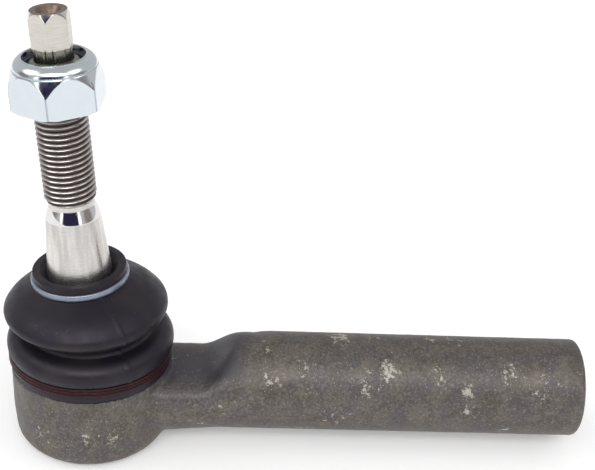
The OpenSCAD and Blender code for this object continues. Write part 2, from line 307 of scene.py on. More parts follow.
class Finish:
    """A node material built round one Principled shader."""

    def __init__(self, name, **values):
        self.material = bpy.data.materials.new(name)
        self.material.use_nodes = True
        self.tree = self.material.node_tree
        self.shader = self.tree.nodes["Principled BSDF"]
        for socket, value in values.items():
            self.shader.inputs[socket.replace("_", " ").title().replace("Ior", "IOR")].default_value = value
        self.place = self.tree.nodes.new("ShaderNodeTexCoord").outputs["Object"]

    def add(self, kind, inputs=(), **settings):
        node = self.tree.nodes.new("ShaderNode" + kind)
        for name, value in settings.items():
            setattr(node, name, value)
        for key, value in dict(inputs).items():
            if isinstance(value, bpy.types.NodeSocket):
                self.tree.links.new(value, node.inputs[key])
            else:
                node.inputs[key].default_value = value
        return node

    def noise(self, spacing, detail=2.0, rough=0.5, stretch=(1, 1, 1), offset=0.0):
        """Noise whose features are about spacing millimetres apart, longer along a stretched axis."""
        scaled = self.add("Mapping", {"Vector": self.place, "Location": (offset,) * 3,
                                      "Scale": tuple(1 / (spacing * MM * s) for s in stretch)})
        return self.add("TexNoise", {"Vector": scaled.outputs[0], "Scale": 1.0, "Detail": detail,
                                     "Roughness": rough}).outputs["Fac"]

    def cells(self, spacing, offset=0.0):
        """Distance to the nearest of scattered points, in spacings."""
        scaled = self.add("Mapping", {"Vector": self.place, "Location": (offset,) * 3,
                                      "Scale": (1 / (spacing * MM),) * 3})
        return self.add("TexVoronoi", {"Vector": scaled.outputs[0], "Scale": 1.0}).outputs["Distance"]

    def span(self, value, low, high, to_low=0.0, to_high=1.0):
        """A smooth ramp of a value from low..high to to_low..to_high."""
        return self.add("MapRange", {"Value": value, "From Min": low, "From Max": high, "To Min": to_low,
                                     "To Max": to_high}, interpolation_type="SMOOTHSTEP").outputs[0]

    def math(self, operation, a, b=0.0):
        return self.add("Math", {0: a, 1: b}, operation=operation, use_clamp=False).outputs[0]

    def blend(self, fac, a, b):
        """Colour a where fac is 0, b where it is 1."""
        node = self.add("Mix", {"Factor": fac}, data_type="RGBA")
        for socket, value in ((node.inputs[6], a), (node.inputs[7], b)):
            if isinstance(value, bpy.types.NodeSocket):
                self.tree.links.new(value, socket)
            else:
                socket.default_value = (*value, 1)
        return node.outputs[2]

    def attribute(self, name):
        return self.add("Attribute", attribute_name=name).outputs["Fac"]

    def grooves_round_axis(self):
        """Turns the shader's tangent so that highlights stretch along the piece's own Z."""
        tangent = self.add("Tangent", direction_type="RADIAL", axis="Z").outputs[0]
        self.tree.links.new(tangent, self.shader.inputs["Tangent"])

    def colour(self, value):
        self.tree.links.new(value, self.shader.inputs["Base Color"])

    def roughness(self, value):
        self.tree.links.new(value, self.shader.inputs["Roughness"])

    def bump(self, *layers):
        """Layers of (height 0..1, depth in millimetres)."""
        normal = None
        for value, depth in layers:
            node = self.add("Bump", {"Height": value, "Strength": 1.0, "Distance": depth * MM})
            if normal is not None:
                self.tree.links.new(normal, node.inputs["Normal"])
            normal = node.outputs[0]
        self.tree.links.new(normal, self.shader.inputs["Normal"])


def forged_steel():
    """Dark grey-brown forging scale with a fine grain, pale chips in it and a smooth neck, its top darkened
    by painted shade.
    """
    f = Finish("forged_steel", metallic=0.45, specular_ior_level=0.5)
    grain = f.noise(0.75, 5, 0.78)
    blotch = f.noise(4.0, 3, 0.6, offset=3.0)
    tint = f.noise(7.0, 2, 0.5, offset=11.0)
    scuff = f.attribute("scuff")
    base = f.blend(f.span(blotch, 0.35, 0.65), (0.094, 0.082, 0.069), (0.140, 0.123, 0.105))
    base = f.blend(f.span(tint, 0.42, 0.62, 0, 0.7), base, (0.096, 0.086, 0.094))
    base = f.blend(f.span(grain, 0.51, 0.66, 0, 0.6), base, (0.270, 0.250, 0.215))
    base = f.blend(f.span(grain, 0.48, 0.34, 0, 0.6), base, (0.040, 0.033, 0.034))
    # Painted shade: the upper side of the neck near the head is coloured darker, where little light falls on
    # it.
    base = f.blend(f.math("MULTIPLY", f.attribute("painted_neck_shade"), 0.85), base, (0.060, 0.057, 0.070))
    patch = f.math("ADD", f.noise(1.7, 6, 0.72, offset=21.0), f.math("MULTIPLY", scuff, 0.13))
    patch = f.span(patch, 0.655, 0.715, 0, 0.8)
    spread = f.math("ADD", f.noise(6.0, 3, 0.6, offset=31.0), f.math("MULTIPLY", scuff, 0.22))
    specks = f.math("MULTIPLY", f.span(f.cells(0.95, 5.0), 0.17, 0.07), f.span(spread, 0.50, 0.62, 0, 0.9))
    pale = f.math("MAXIMUM", patch, specks)
    f.colour(f.blend(pale, base, (0.50, 0.47, 0.40)))
    f.roughness(f.span(grain, 0.3, 0.7, 0.42, 0.58))
    f.bump((blotch, 0.06), (grain, 0.05), (pale, 0.03))
    return f.material


def plate_steel():
    """Pressed plate with faint circular tool marks and a little oil stain."""
    f = Finish("plate_steel", metallic=1.0)
    stain = f.noise(5.0, 3, 0.6)
    f.colour(f.blend(f.span(stain, 0.35, 0.7), (0.46, 0.47, 0.48), (0.30, 0.28, 0.25)))
    f.roughness(f.span(f.noise(1.5, 3), 0.3, 0.7, 0.25, 0.45))
    f.bump((f.noise(0.3, 3), 0.01))
    return f.material


def spring_steel():
    f = Finish("spring_steel", metallic=1.0)
    f.colour(f.blend(f.noise(3.0, 3), (0.20, 0.22, 0.27), (0.38, 0.36, 0.33)))
    f.roughness(f.span(f.noise(1.0, 3), 0.3, 0.7, 0.25, 0.4))
    return f.material


def seat_plastic():
    f = Finish("seat_plastic", specular_ior_level=0.5, subsurface_weight=0.1)
    f.colour(f.blend(f.noise(6.0, 2), (0.74, 0.72, 0.64), (0.80, 0.78, 0.71)))
    f.roughness(f.span(f.noise(1.0, 2), 0.3, 0.7, 0.35, 0.5))
    f.bump((f.noise(0.4, 2), 0.01))
    return f.material


def clamp_wire():
    """Red-brown lacquered wire with wear on its outside."""
    f = Finish("clamp_wire", metallic=0.2, specular_ior_level=0.25)
    wear = f.noise(2.5, 4, 0.7, stretch=(1, 1, 0.3))
    base = f.blend(f.noise(9.0, 2), (0.012, 0.002, 0.004), (0.040, 0.007, 0.011))
    f.colour(f.blend(f.span(wear, 0.60, 0.72, 0, 0.7), base, (0.08, 0.045, 0.042)))
    f.roughness(f.span(wear, 0.3, 0.7, 0.26, 0.42))
    f.bump((f.noise(0.4, 3), 0.01))
    return f.material


def boot_rubber():
    """Near-black rubber, faintly violet, with a moulded satin skin, dust specks and lighter patches, part
    bloom and part painted highlight.
    """
    f = Finish("boot_rubber", specular_ior_level=0.36, specular_tint=(0.94, 0.86, 1.0, 1))
    cloud = f.noise(9.0, 3, 0.55)
    base = f.blend(cloud, (0.0060, 0.0048, 0.0085), (0.0100, 0.0080, 0.0125))
    # Partly bloom and partly painted highlight: large, lighter brownish patches.
    bloom_and_highlight = f.span(f.noise(16.0, 2, 0.5, offset=7.0), 0.50, 0.72, 0, 0.55)
    base = f.blend(bloom_and_highlight, base, (0.024, 0.020, 0.020))
    dusty = f.span(f.noise(6.0, 2, offset=17.0), 0.5, 0.62)
    dust = f.math("MULTIPLY", f.span(f.cells(1.5, 2.0), 0.09, 0.05), dusty)
    f.colour(f.blend(f.math("MULTIPLY", dust, 0.5), base, (0.22, 0.20, 0.19)))
    f.roughness(f.span(f.noise(3.0, 3), 0.3, 0.7, 0.40, 0.52))
    f.bump((f.noise(0.25, 2), 0.008), (f.noise(2.2, 2), 0.02))
    return f.material


def ring_steel():
    """Satin blue-grey ring."""
    f = Finish("ring_steel", metallic=0.85)
    f.colour(f.blend(f.noise(4.0, 3), (0.22, 0.25, 0.33), (0.31, 0.34, 0.41)))
    f.roughness(f.span(f.noise(1.2, 3), 0.3, 0.7, 0.26, 0.34))
    f.bump((f.noise(1.5, 2), 0.004))
    return f.material


def ground_steel():
    """Ground and turned steel: fine lines round the axis and soft lengthwise streaks of painted reflection.
    """
    f = Finish("ground_steel", metallic=1.0, anisotropic=0.75, anisotropic_rotation=0.25)
    f.grooves_round_axis()
    lines = f.noise(0.12, 2, 0.6, stretch=(60, 60, 1))
    # Painted reflection: soft lighter and darker streaks along the axis, in the steel's colour.
    band = f.noise(2.2, 3, 0.6, stretch=(1, 1, 14))
    base = f.blend(f.span(band, 0.35, 0.65), (0.56, 0.540, 0.520), (0.77, 0.745, 0.715))
    f.colour(f.blend(f.span(lines, 0.35, 0.7, 0, 0.16), base, (0.52, 0.49, 0.46)))
    f.roughness(f.span(lines, 0.3, 0.7, 0.22, 0.30))
    f.bump((lines, 0.0015))
    return f.material


def polished_steel():
    f = Finish("polished_steel", metallic=1.0)
    f.colour(f.blend(f.noise(4.0, 2), (0.66, 0.65, 0.66), (0.78, 0.77, 0.77)))
    f.roughness(f.span(f.noise(0.8, 3), 0.3, 0.7, 0.05, 0.09))
    return f.material


def matte_steel():
    """Blasted neck between the shoulder and the thread."""
    f = Finish("matte_steel", metallic=0.9)
    f.colour(f.blend(f.noise(1.5, 3), (0.62, 0.60, 0.57), (0.74, 0.72, 0.70)))
    f.roughness(f.span(f.noise(0.5, 3), 0.3, 0.7, 0.36, 0.5))
    f.bump((f.noise(0.2, 2), 0.008))
    return f.material


def thread_steel():
    """Rolled thread: bright crests and dark roots, partly oil and partly painted shade."""
    f = Finish("thread_steel", metallic=1.0)
    groove = f.attribute("groove")
    patch = f.noise(3.0, 3, 0.6, stretch=(1, 1, 2))
    crest = f.blend(patch, (0.74, 0.69, 0.66), (0.58, 0.53, 0.51))
    # Partly oil and partly painted shade: the deeper a point lies in the groove, the darker its colour.
    f.colour(f.blend(f.span(groove, 0.08, 0.70, 0, 0.92), crest, (0.085, 0.068, 0.068)))
    f.roughness(f.span(groove, 0.2, 0.9, 0.16, 0.42))
    f.bump((f.noise(0.2, 3, stretch=(6, 6, 1)), 0.006))
    return f.material


def dark_neck_steel():
    """Unfinished neck under the drive, coloured dark grey with blotches."""
    f = Finish("dark_neck_steel", metallic=1.0)
    stain = f.noise(1.5, 3, 0.6, stretch=(1, 1, 2))
    f.colour(f.blend(stain, (0.120, 0.116, 0.100), (0.330, 0.315, 0.265)))
    f.roughness(f.span(f.noise(0.3, 3), 0.3, 0.7, 0.20, 0.34))
    f.bump((f.noise(0.2, 2, stretch=(8, 8, 1)), 0.002))
    return f.material


def milled_steel():
    """Hexagon drive with milling marks across its flats."""
    f = Finish("milled_steel", metallic=0.95)
    marks = f.noise(0.32, 3, 0.6, stretch=(12, 12, 1))
    base = f.blend(f.noise(4.0, 2), (0.60, 0.575, 0.52), (0.70, 0.675, 0.62))
    f.colour(f.blend(f.span(marks, 0.40, 0.70, 0, 0.35), base, (0.50, 0.46, 0.40)))
    f.roughness(f.span(marks, 0.3, 0.7, 0.28, 0.42))
    f.bump((marks, 0.007))
    return f.material


def centre_hole_steel():
    """Drilled centre with turned rings; its dark golden brown is painted shade in the hollow."""
    f = Finish("centre_hole_steel", metallic=1.0)
    rings = f.noise(0.2, 2, 0.5, stretch=(20, 20, 1))
    # Painted shade: the hollow is coloured far darker than the steel round it.
    f.colour(f.blend(rings, (0.13, 0.085, 0.075), (0.30, 0.22, 0.17)))
    f.roughness(f.span(rings, 0.3, 0.7, 0.24, 0.4))
    f.bump((rings, 0.008))
    return f.material


def nut_zinc():
    """Bright bluish zinc with a light crystalline mottle, and a painted dark reflection along each hexagon
    corner.
    """
    f = Finish("nut_zinc", metallic=1.0)
    cloud = f.noise(3.5, 3, 0.55)
    base = f.blend(cloud, (0.63, 0.685, 0.72), (0.69, 0.745, 0.785))
    base = f.blend(f.span(f.noise(0.5, 3, offset=9.0), 0.62, 0.8, 0, 0.25), base, (0.60, 0.64, 0.67))
    # Painted reflection: a dark blue line along each corner of the hexagon.
    f.colour(f.blend(f.math("MULTIPLY", f.attribute("corner"), 0.6), base, (0.22, 0.25, 0.34)))
    f.roughness(f.span(f.noise(1.6, 4, 0.6), 0.3, 0.7, 0.08, 0.17))
    f.bump((f.noise(0.6, 3), 0.003), (f.noise(4.0, 2), 0.012))
    return f.material


def insert_nylon():
    f = Finish("insert_nylon", specular_ior_level=0.5, subsurface_weight=0.05)
    f.colour(f.blend(f.noise(2.0, 2), (0.020, 0.022, 0.045), (0.040, 0.042, 0.085)))
    f.roughness(f.span(f.noise(1.0, 2), 0.3, 0.7, 0.25, 0.4))
    f.bump((f.noise(0.3, 2), 0.008))
    return f.material


def paint(piece, *materials):
    """Gives a piece its materials. Its faces wear the first one until they are told otherwise."""
    piece.data.materials.clear()
    for material in materials:
        piece.data.materials.append(material)


def paint_bands(piece, bands):
    """Gives a piece one material per band along its own Z: (top height, material) from the bottom up."""
    paint(piece, *[material for _, material in bands])
    tops = np.array([top for top, _ in bands[:-1]]) * MM
    mesh = piece.data
    centres = np.zeros(len(mesh.polygons) * 3)
    mesh.polygons.foreach_get("center", centres)
    mesh.polygons.foreach_set("material_index", np.searchsorted(tops, centres[2::3]).astype(np.int32))


# ---------------------------------------------------------------- the forging

HEAD_TOP = 6.3
HEAD_CORNER = 5.2
HEAD_DRAFT = 0.8
SPIGOT_R, SPIGOT_TOP = 19.5, 11.0
SHANK_R = 14.15
SHANK_EDGE = 1.7
NECK_FLAT, NECK_BEVEL, BEVEL_TURN = 4.8, 10.6, 35.0
NECK_RISE = (31.0, 44.0)
NECK_CREASE = 2.2
NECK_OVER_SHANK = 0.2
NECK_DROP, DROP_FROM, DROP_TO = 1.9, 36.0, 16.0
CAVITY_R, CAVITY_TOP, MOUTH_R = 16.0, 8.0, 13.1
COVER_R, COVER_TOP, COVER_BOTTOM = 17.3, 14.8, 16.6
LIP_R = 15.2
SHANK_THREAD_R, SHANK_PITCH, SHANK_THREAD_DEPTH = 10.0, 1.5, 76.0
SHANK_CHAMFER = 1.2
MOUTH_DEPTH, MOUTH_SLOPE = 2.2, 0.85
THREAD_HEIGHT = 0.5413  # of an internal thread, in pitches

# Where the forging is scuffed: (x, y, z, reach, strength). 13 of the places come from points read off the
# photo through the fitted camera; the others, and all reaches and strengths, are listed one by one.
SCUFFS = (
    (71, 2, 14, 4.5, 1.6), (82, 3, 14, 2.5, 1.2), (97, 3, 14, 2.5, 1.4), (104, 2, 14, 3.0, 1.2),
    (50, -4, 13.5, 3.0, 0.9), (61, -9, 11, 4.0, 1.1), (84, -9, 11, 4.0, 1.7), (99, -10, 10, 3.5, 1.0),
    (119, -9, 11, 4.0, 1.2), (128, -12, 7, 5.0, 0.8), (51, -12, 8, 4.5, 1.0), (78, -12, 7, 6.0, 0.8),
    (107, -13, 6, 3.2, 1.8), (107, -14, 1, 2.6, 1.5), (37, -14, 0, 2.5, 1.4), (33, -13, -5, 4.5, 0.9),
    (70, -14, -2, 8.0, 0.6), (119, -12, -7, 1.8, 1.7), (60, -10.5, -9.5, 6.0, 0.6),
    (-12, -19, -6, 5.0, 0.9), (0, -22, -6, 4.0, 1.1), (8, -21, -6, 3.2, 1.2), (-2, -18, -14, 6.0, 0.5),
)


def neck_height(x, height):
    """Height of the neck's flat or bevel over the shank's axis at x."""
    t = np.clip((x - NECK_RISE[0]) / (NECK_RISE[1] - NECK_RISE[0]), 0, 1)
    return height + (SHANK_R + NECK_OVER_SHANK - height) * (1 - np.cos(math.pi * t)) / 2


def neck_plane(x, up, height):
    """Distance above the neck's flat, or far inside where the shank has its full height."""
    above = (up - neck_height(x, height)) * 0.85
    past = (x - NECK_RISE[1]) / 4
    return np.where(past > 0, np.minimum(above, -past), above)


def forging_field(p):
    """Signed distance, nearly, from the forging's outside."""
    x, y, z = p[..., 0], p[..., 1], p[..., 2]
    radius = np.hypot(x, y)
    draft = HEAD_DRAFT * np.clip((-6 - z) / (HEAD_BOTTOM - 6), 0, 1)
    head = round_max(radius - HEAD_R + draft, -z - HEAD_BOTTOM, HEAD_CORNER)
    head = round_max(head, z - HEAD_TOP, 0.6)
    spigot = np.maximum(round_max(radius - SPIGOT_R, z - SPIGOT_TOP, 0.6), -z)
    sunk = NECK_DROP * np.clip((DROP_FROM - x) / (DROP_FROM - DROP_TO), 0, 1)
    shank = np.minimum(np.hypot(y, z), np.hypot(y, z + sunk)) - SHANK_R
    shank = round_max(shank, x - SHANK_END, SHANK_EDGE)
    shank = np.maximum(shank, -x)
    shank = soft_max(shank, neck_plane(x, z, NECK_FLAT), NECK_CREASE)
    for side in (-1, 1):
        turn = math.radians(BEVEL_TURN * side)
        up = y * math.sin(turn) + z * math.cos(turn)
        shank = soft_max(shank, neck_plane(x, up, NECK_BEVEL), NECK_CREASE)
    blend_width = 0.8 + 0.6 * smoothstep((5.5 - z) / 4.0)
    return np.minimum(soft_min(head, shank, blend_width), spigot)


def socket_tool():
    """What is bored out of the head: the mouth, the seats' room and the closing plate's step."""
    shell = Shell(128)
    shell.lathe(rounded([
        (0, -HEAD_BOTTOM - 1), (LIP_R + 1.2, -HEAD_BOTTOM - 1), (LIP_R + 1.2, -HEAD_BOTTOM - 0.2, 0.2),
        (LIP_R, -HEAD_BOTTOM + 0.7, 0.5), (LIP_R, -COVER_BOTTOM, 0.1), (COVER_R + 0.05, -COVER_BOTTOM, 0.1),
        (COVER_R + 0.05, -COVER_TOP, 0.1), (CAVITY_R, -COVER_TOP, 0.2), (CAVITY_R, CAVITY_TOP, 0.3),
        (MOUTH_R, CAVITY_TOP, 0.2), (MOUTH_R, CAVITY_TOP + 1.5, 0.5), (MOUTH_R + 1.4, SPIGOT_TOP + 1),
        (0, SPIGOT_TOP + 1)]))
    return build_piece("socket_tool", build_mesh("socket_tool", shell))


def shank_bore_tool():
    """The shank's blind hole and helical thread, drawn along its own Z from the drill point out."""
    minor = SHANK_THREAD_R - THREAD_HEIGHT * SHANK_PITCH
    top = SHANK_END
    mouth_start = top - MOUTH_DEPTH
    start, end = top - SHANK_THREAD_DEPTH, top - SHANK_CHAMFER * 0.2
    bottom = start - 4
    mouth_r = minor + (end - mouth_start) * MOUTH_SLOPE

    def radius_at(z, phase):
        wave = np.clip(1.5 - np.abs(phase * 2 - 1) * 2, 0, 1)
        groove = minor + (SHANK_THREAD_R - minor) * wave
        fade_in = minor + np.clip((z - start) / SHANK_PITCH, 0, 1) * (SHANK_THREAD_R - minor)
        mouth = minor + np.clip(z - mouth_start, 0, None) * MOUTH_SLOPE
        radius = np.maximum(np.minimum(groove, fade_in), mouth)
        return np.where(z >= end, mouth_r, np.where(z <= start, minor, radius)), wave

    shell = Shell(72)
    shell.lathe([(0, bottom - minor * 0.6), (minor, bottom), (minor, start)])
    shell.thread(start, end, SHANK_PITCH, 6, radius_at)
    shell.lathe([(mouth_r, end), (mouth_r + 0.9, top + 0.6), (mouth_r + 0.9, top + 2), (0, top + 2)])
    place = Matrix.Rotation(math.radians(90), 4, "Y")
    return build_piece("bore_tool", build_mesh("bore_tool", shell), place)


def make_forging(material):
    """The forging in one piece: meshed from its field, bored, marked where scuffed and given painted shade on
    the neck.
    """
    low = (-HEAD_R, -HEAD_R, -HEAD_BOTTOM)
    high = (SHANK_END, HEAD_R, SHANK_R)
    points, faces = surface_net(forging_field, low, high, 0.7)
    worn = [noise.fractal(Vector(p) / 5.0, 0.9, 2.0, 3) for p in points]
    nudge = 0.05
    slope = np.stack([forging_field(points + offset) - forging_field(points - offset)
                      for offset in np.eye(3) * nudge], -1)
    slope /= np.linalg.norm(slope, axis=1)[:, None]
    points = points - slope * (0.05 * (1 + np.clip(np.array(worn), -1, 1)))[:, None]
    mesh = bpy.data.meshes.new("forging")
    mesh.from_pydata(points * MM, [], faces.tolist())
    body = build_piece("forging_body", mesh)
    cut = subtract(body, [socket_tool(), shank_bore_tool()])
    bpy.data.objects.remove(body)
    forging = build_piece("forging", cut, sharp=45)
    co = np.zeros(len(cut.vertices) * 3)
    cut.vertices.foreach_get("co", co)
    co = co.reshape(-1, 3) / MM
    scuff = np.zeros(len(co))
    for x, y, z, reach, strength in SCUFFS:
        away = ((co - (x, y, z)) ** 2).sum(1)
        scuff = np.maximum(scuff, strength * np.exp(-away / (2 * (reach / 1.6) ** 2)))
    # Painted shade: how far the top of the neck near the head is darkened.
    painted_neck_shade = smoothstep((47 - co[:, 0]) / 8) * smoothstep((co[:, 2] - np.abs(co[:, 1]) * 0.55 + 2.0) / 5)
    for name, values in (("scuff", scuff), ("painted_neck_shade", painted_neck_shade)):
        cut.attributes.new(name, "FLOAT", "POINT").data.foreach_set("value", values.astype(np.float32))
    paint(forging, material)
    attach(forging, "head")
    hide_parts("housing")


# ---------------------------------------------------------------- the stud

BALL_R, BALL_FLAT, NECK_R = 13.5, 11.5, 6.75
TAPER_START, TAPER_END, TAPER_SMALL_R = 31.0, 51.0, 7.55
TAPER_PER_MM = 1 / 12
SHOULDER_START, SHOULDER_END = 52.7, 56.2
SHOULDER_TURN = (14, 25)
RELIEF_R = 6.1
THREAD_R, THREAD_PITCH = 7.0, 1.5
THREAD_START, THREAD_END = 57.5, 96.5
DRIVE_FLAT, DRIVE_START, STUD_TIP, DRIVE_TURN = 4.8, 100.2, 109.45, 29.0
DRIVE_NECK_R, DRIVE_RIM_R, DRIVE_CHAMFER = 5.0, 4.74, 0.42
CENTRE_HOLE_R, PILOT_R, PILOT_DEPTH = 3.3, 1.2, 6.0
THREAD_ROOT_R = THREAD_R - 0.61 * THREAD_PITCH


def taper_r(s):
    return TAPER_SMALL_R + (TAPER_END - s) * TAPER_PER_MM


def thread_wave(phase):
    """0 at the thread's root and 1 at its crest, with a narrow flat crest and a rounded root."""
    rise = np.clip(1.14 - np.abs(phase * 2 - 1) * 1.34, 0, 1)
    return 0.8 * rise + 0.2 * rise ** 2


def stud_thread_radius(z, phase):
    wave = thread_wave(phase)
    depth = THREAD_R - THREAD_ROOT_R
    limit = THREAD_ROOT_R + np.clip(np.minimum((z - THREAD_START) * 0.75, THREAD_END - z), 0, depth)
    radius = np.minimum(THREAD_ROOT_R + depth * wave, limit)
    return radius, 1 - wave


def make_stud(materials):
    """Ball, neck, taper, shoulder, thread and hexagon drive in one piece."""
    shell = Shell(160)
    neck_angle = math.degrees(math.acos(NECK_R / BALL_R))
    ball_angle = -math.degrees(math.asin(BALL_FLAT / BALL_R))
    large = taper_r(TAPER_START)
    low, high = (math.radians(a) for a in SHOULDER_TURN)
    band_r = (SHOULDER_END - SHOULDER_START) / (math.sin(high) - math.sin(low))
    band = arc(taper_r(SHOULDER_START) - band_r * math.cos(low), SHOULDER_START - band_r * math.sin(low),
               band_r, *SHOULDER_TURN, 12)
    shell.lathe([(0, -BALL_FLAT)] + arc(0, 0, BALL_R, ball_angle, neck_angle, 40)
                + rounded([(NECK_R, 12.5), (NECK_R, 22, 6), (large, TAPER_START - 0.8, 0.8),
                           (large, TAPER_START, 0.3), (taper_r(45), 45)])
                + band
                + rounded([(RELIEF_R, SHOULDER_END + 0.5), (RELIEF_R, THREAD_START - 0.2),
                           (THREAD_ROOT_R, THREAD_START)]))
    shell.thread(THREAD_START, THREAD_END, THREAD_PITCH, 12, stud_thread_radius)
    cone_depth = (CENTRE_HOLE_R - PILOT_R) * 1.2

    def drive_radius(theta, r, z):
        if z <= DRIVE_START or r < DRIVE_RIM_R - 0.02:
            return np.full(len(theta), r)
        return soft_min(hexagon(theta, DRIVE_FLAT, DRIVE_TURN, 0.18), np.full(len(theta), r), 0.15)

    heights = np.concatenate([np.linspace(DRIVE_START + 0.1, STUD_TIP - 2.2, 12),
                              np.linspace(STUD_TIP - 2.1, STUD_TIP, 28)])
    sides = [(min(6.5, DRIVE_RIM_R + (STUD_TIP - s) * DRIVE_CHAMFER), s) for s in heights]
    shell.lathe(rounded([(THREAD_ROOT_R, THREAD_END), (DRIVE_NECK_R + 0.1, THREAD_END + 0.15, 0.1),
                         (DRIVE_NECK_R, THREAD_END + 0.6, 0.2), (DRIVE_NECK_R, DRIVE_START)])
                + sides
                + rounded([(DRIVE_RIM_R - 0.05, STUD_TIP), (CENTRE_HOLE_R, STUD_TIP, 0.12),
                           (PILOT_R, STUD_TIP - cone_depth, 0.1), (PILOT_R, STUD_TIP - PILOT_DEPTH),
                           (0, STUD_TIP - PILOT_DEPTH - 0.6)]),
                radius_at=drive_radius)
    stud = build_piece("stud", build_mesh("stud", shell), STUD, sharp=38)
    paint_bands(stud, [(TAPER_START - 12, materials["polished"]), (SHOULDER_START, materials["ground"]),
                       (SHOULDER_END, materials["polished"]), (THREAD_START, materials["matte"]),
                       (THREAD_END - 1.2, materials["thread"]), (DRIVE_START, materials["neck"]),
                       (STUD_TIP + 1, materials["milled"]), (STUD_TIP + 2, materials["hole"])])
    hole_index = len(stud.data.materials) - 1
    hole_edge = DRIVE_RIM_R - 0.35
    polished_index = 0  # the ball's band
    for face in stud.data.polygons:
        if face.center.z > (DRIVE_START + 1) * MM:
            if math.hypot(face.center.x, face.center.y) < hole_edge * MM:
                face.material_index = hole_index
            elif 0.2 < face.normal.z < 0.8:
                face.material_index = polished_index
    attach(stud, "stud")
    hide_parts("ball_stud")


# ---------------------------------------------------------------- the lock nut

NUT_FLAT, NUT_TURN = 11.0, 25.6
NUT_BOTTOM, NUT_HEX_H, NUT_TOP = 84.5, 10.5, 97.8
COLLAR_R, COLLAR_ROUND, COLLAR_TURN = 11.0, 3.3, 15
CHAMFER_R, CHAMFER_SLOPE, UNDER_SLOPE = 10.9, 0.4, 1.8
INSERT_R, INSERT_LOW, INSERT_HIGH = 9.5, 93.4, 96.1
NUT_MOUTH_R = 8.0
NUT_GAP = 0.06
# Width, in mm, of the painted dark reflection line along each hexagon corner.
PAINTED_CORNER_WIDTH = 0.22


def make_nut(material):
    """Hexagon with a round collar, a helical thread and a groove for the nylon ring."""
    shell = Shell(360)
    hex_top = NUT_BOTTOM + NUT_HEX_H

    def sides(s):
        """Envelope of the hexagon: the steep upper chamfer and the flat lower one."""
        upper = CHAMFER_R + (hex_top - s) * CHAMFER_SLOPE
        return min(upper, NUT_FLAT + 0.7 + (s - NUT_BOTTOM) * UNDER_SLOPE)

    def nut_radius(theta, r, z):
        if r < NUT_FLAT - 1.2 or z > hex_top:
            return np.full(len(theta), r)
        return soft_min(hexagon(theta, NUT_FLAT, NUT_TURN, 0.3), np.full(len(theta), r), 0.22)

    opening = THREAD_R + NUT_GAP + 0.02

    def bore_radius(z, phase):
        wave = thread_wave(phase)
        thread = THREAD_ROOT_R + (THREAD_R - THREAD_ROOT_R) * wave + NUT_GAP
        low = opening + 0.8 - (z - NUT_BOTTOM)
        high = opening - (INSERT_LOW - z)
        return np.maximum(thread, np.maximum(low, high)), wave

    heights = np.linspace(NUT_BOTTOM + 0.02, hex_top - 0.25, 90)
    outside = (rounded([(opening + 0.8, NUT_BOTTOM), (9.6, NUT_BOTTOM), (NUT_FLAT - 0.3, NUT_BOTTOM)])
               + [(sides(s), s) for s in heights]
               + rounded([(CHAMFER_R - 0.02, hex_top - 0.05), (CHAMFER_R - 0.32, hex_top + 0.1, 0.08),
                          (CHAMFER_R - 0.08, hex_top + 0.3)], steps=4)
               + arc(COLLAR_R - COLLAR_ROUND, NUT_TOP - COLLAR_ROUND, COLLAR_ROUND, COLLAR_TURN, 78, 24)
               + rounded([(NUT_MOUTH_R + 0.5, NUT_TOP - 0.02), (NUT_MOUTH_R, NUT_TOP, 0.14),
                          (NUT_MOUTH_R, INSERT_HIGH + 0.05, 0.1), (INSERT_R, INSERT_HIGH + 0.05),
                          (INSERT_R, INSERT_LOW - 0.05), (opening, INSERT_LOW - 0.05)], steps=4))
    shell.lathe(outside, radius_at=nut_radius)
    shell.thread(NUT_BOTTOM, INSERT_LOW - 0.05, THREAD_PITCH, 8, bore_radius_ends(bore_radius, opening))
    nut = build_piece("nut", build_mesh("nut", shell), STUD, sharp=30)
    co = np.zeros(len(nut.data.vertices) * 3)
    nut.data.vertices.foreach_get("co", co)
    x, y, z = co.reshape(-1, 3).T / MM
    # Where the painted dark reflection line runs: a narrow band round each hexagon corner.
    turn = (np.degrees(np.arctan2(y, x)) - NUT_TURN + 30) % 60 - 30
    beside = np.abs(np.radians(turn)) * np.hypot(x, y)
    corner = np.clip(1.5 - beside / PAINTED_CORNER_WIDTH, 0, 1) * (np.hypot(x, y) > NUT_FLAT + 0.8)
    nut.data.attributes.new("corner", "FLOAT", "POINT").data.foreach_set("value", corner.astype(np.float32))
    paint(nut, material)
    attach(nut, "nut")
    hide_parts("lock_nut")


def bore_radius_ends(inner, opening):
    """The nut's bore with its two end rings made exactly round."""
    def radius_at(z, phase):
        radius, wave = inner(z, phase)
        radius = np.where(z <= NUT_BOTTOM, opening + 0.8, radius)
        return np.where(z >= INSERT_LOW - 0.05, opening, radius), wave
    return radius_at


def make_insert(material):
    """Nylon ring with softened edges, just clear of the thread's crests."""
    shell = Shell(96)
    bore = THREAD_R + 0.05
    shell.lathe(rounded([(bore, INSERT_LOW + 0.02, 0.3), (INSERT_R - 0.05, INSERT_LOW + 0.02, 0.3),
                         (INSERT_R - 0.05, INSERT_HIGH, 0.3), (bore + 0.3, INSERT_HIGH, 0.5)],
                        closed=True), closed=True)
    insert = build_piece("nylon_ring", build_mesh("nylon_ring", shell), STUD)
    paint(insert, material)
    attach(insert, "nut_insert")
    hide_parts("lock_nut_insert")


# ---------------------------------------------------------------- the dust boot, its ring and its clamp

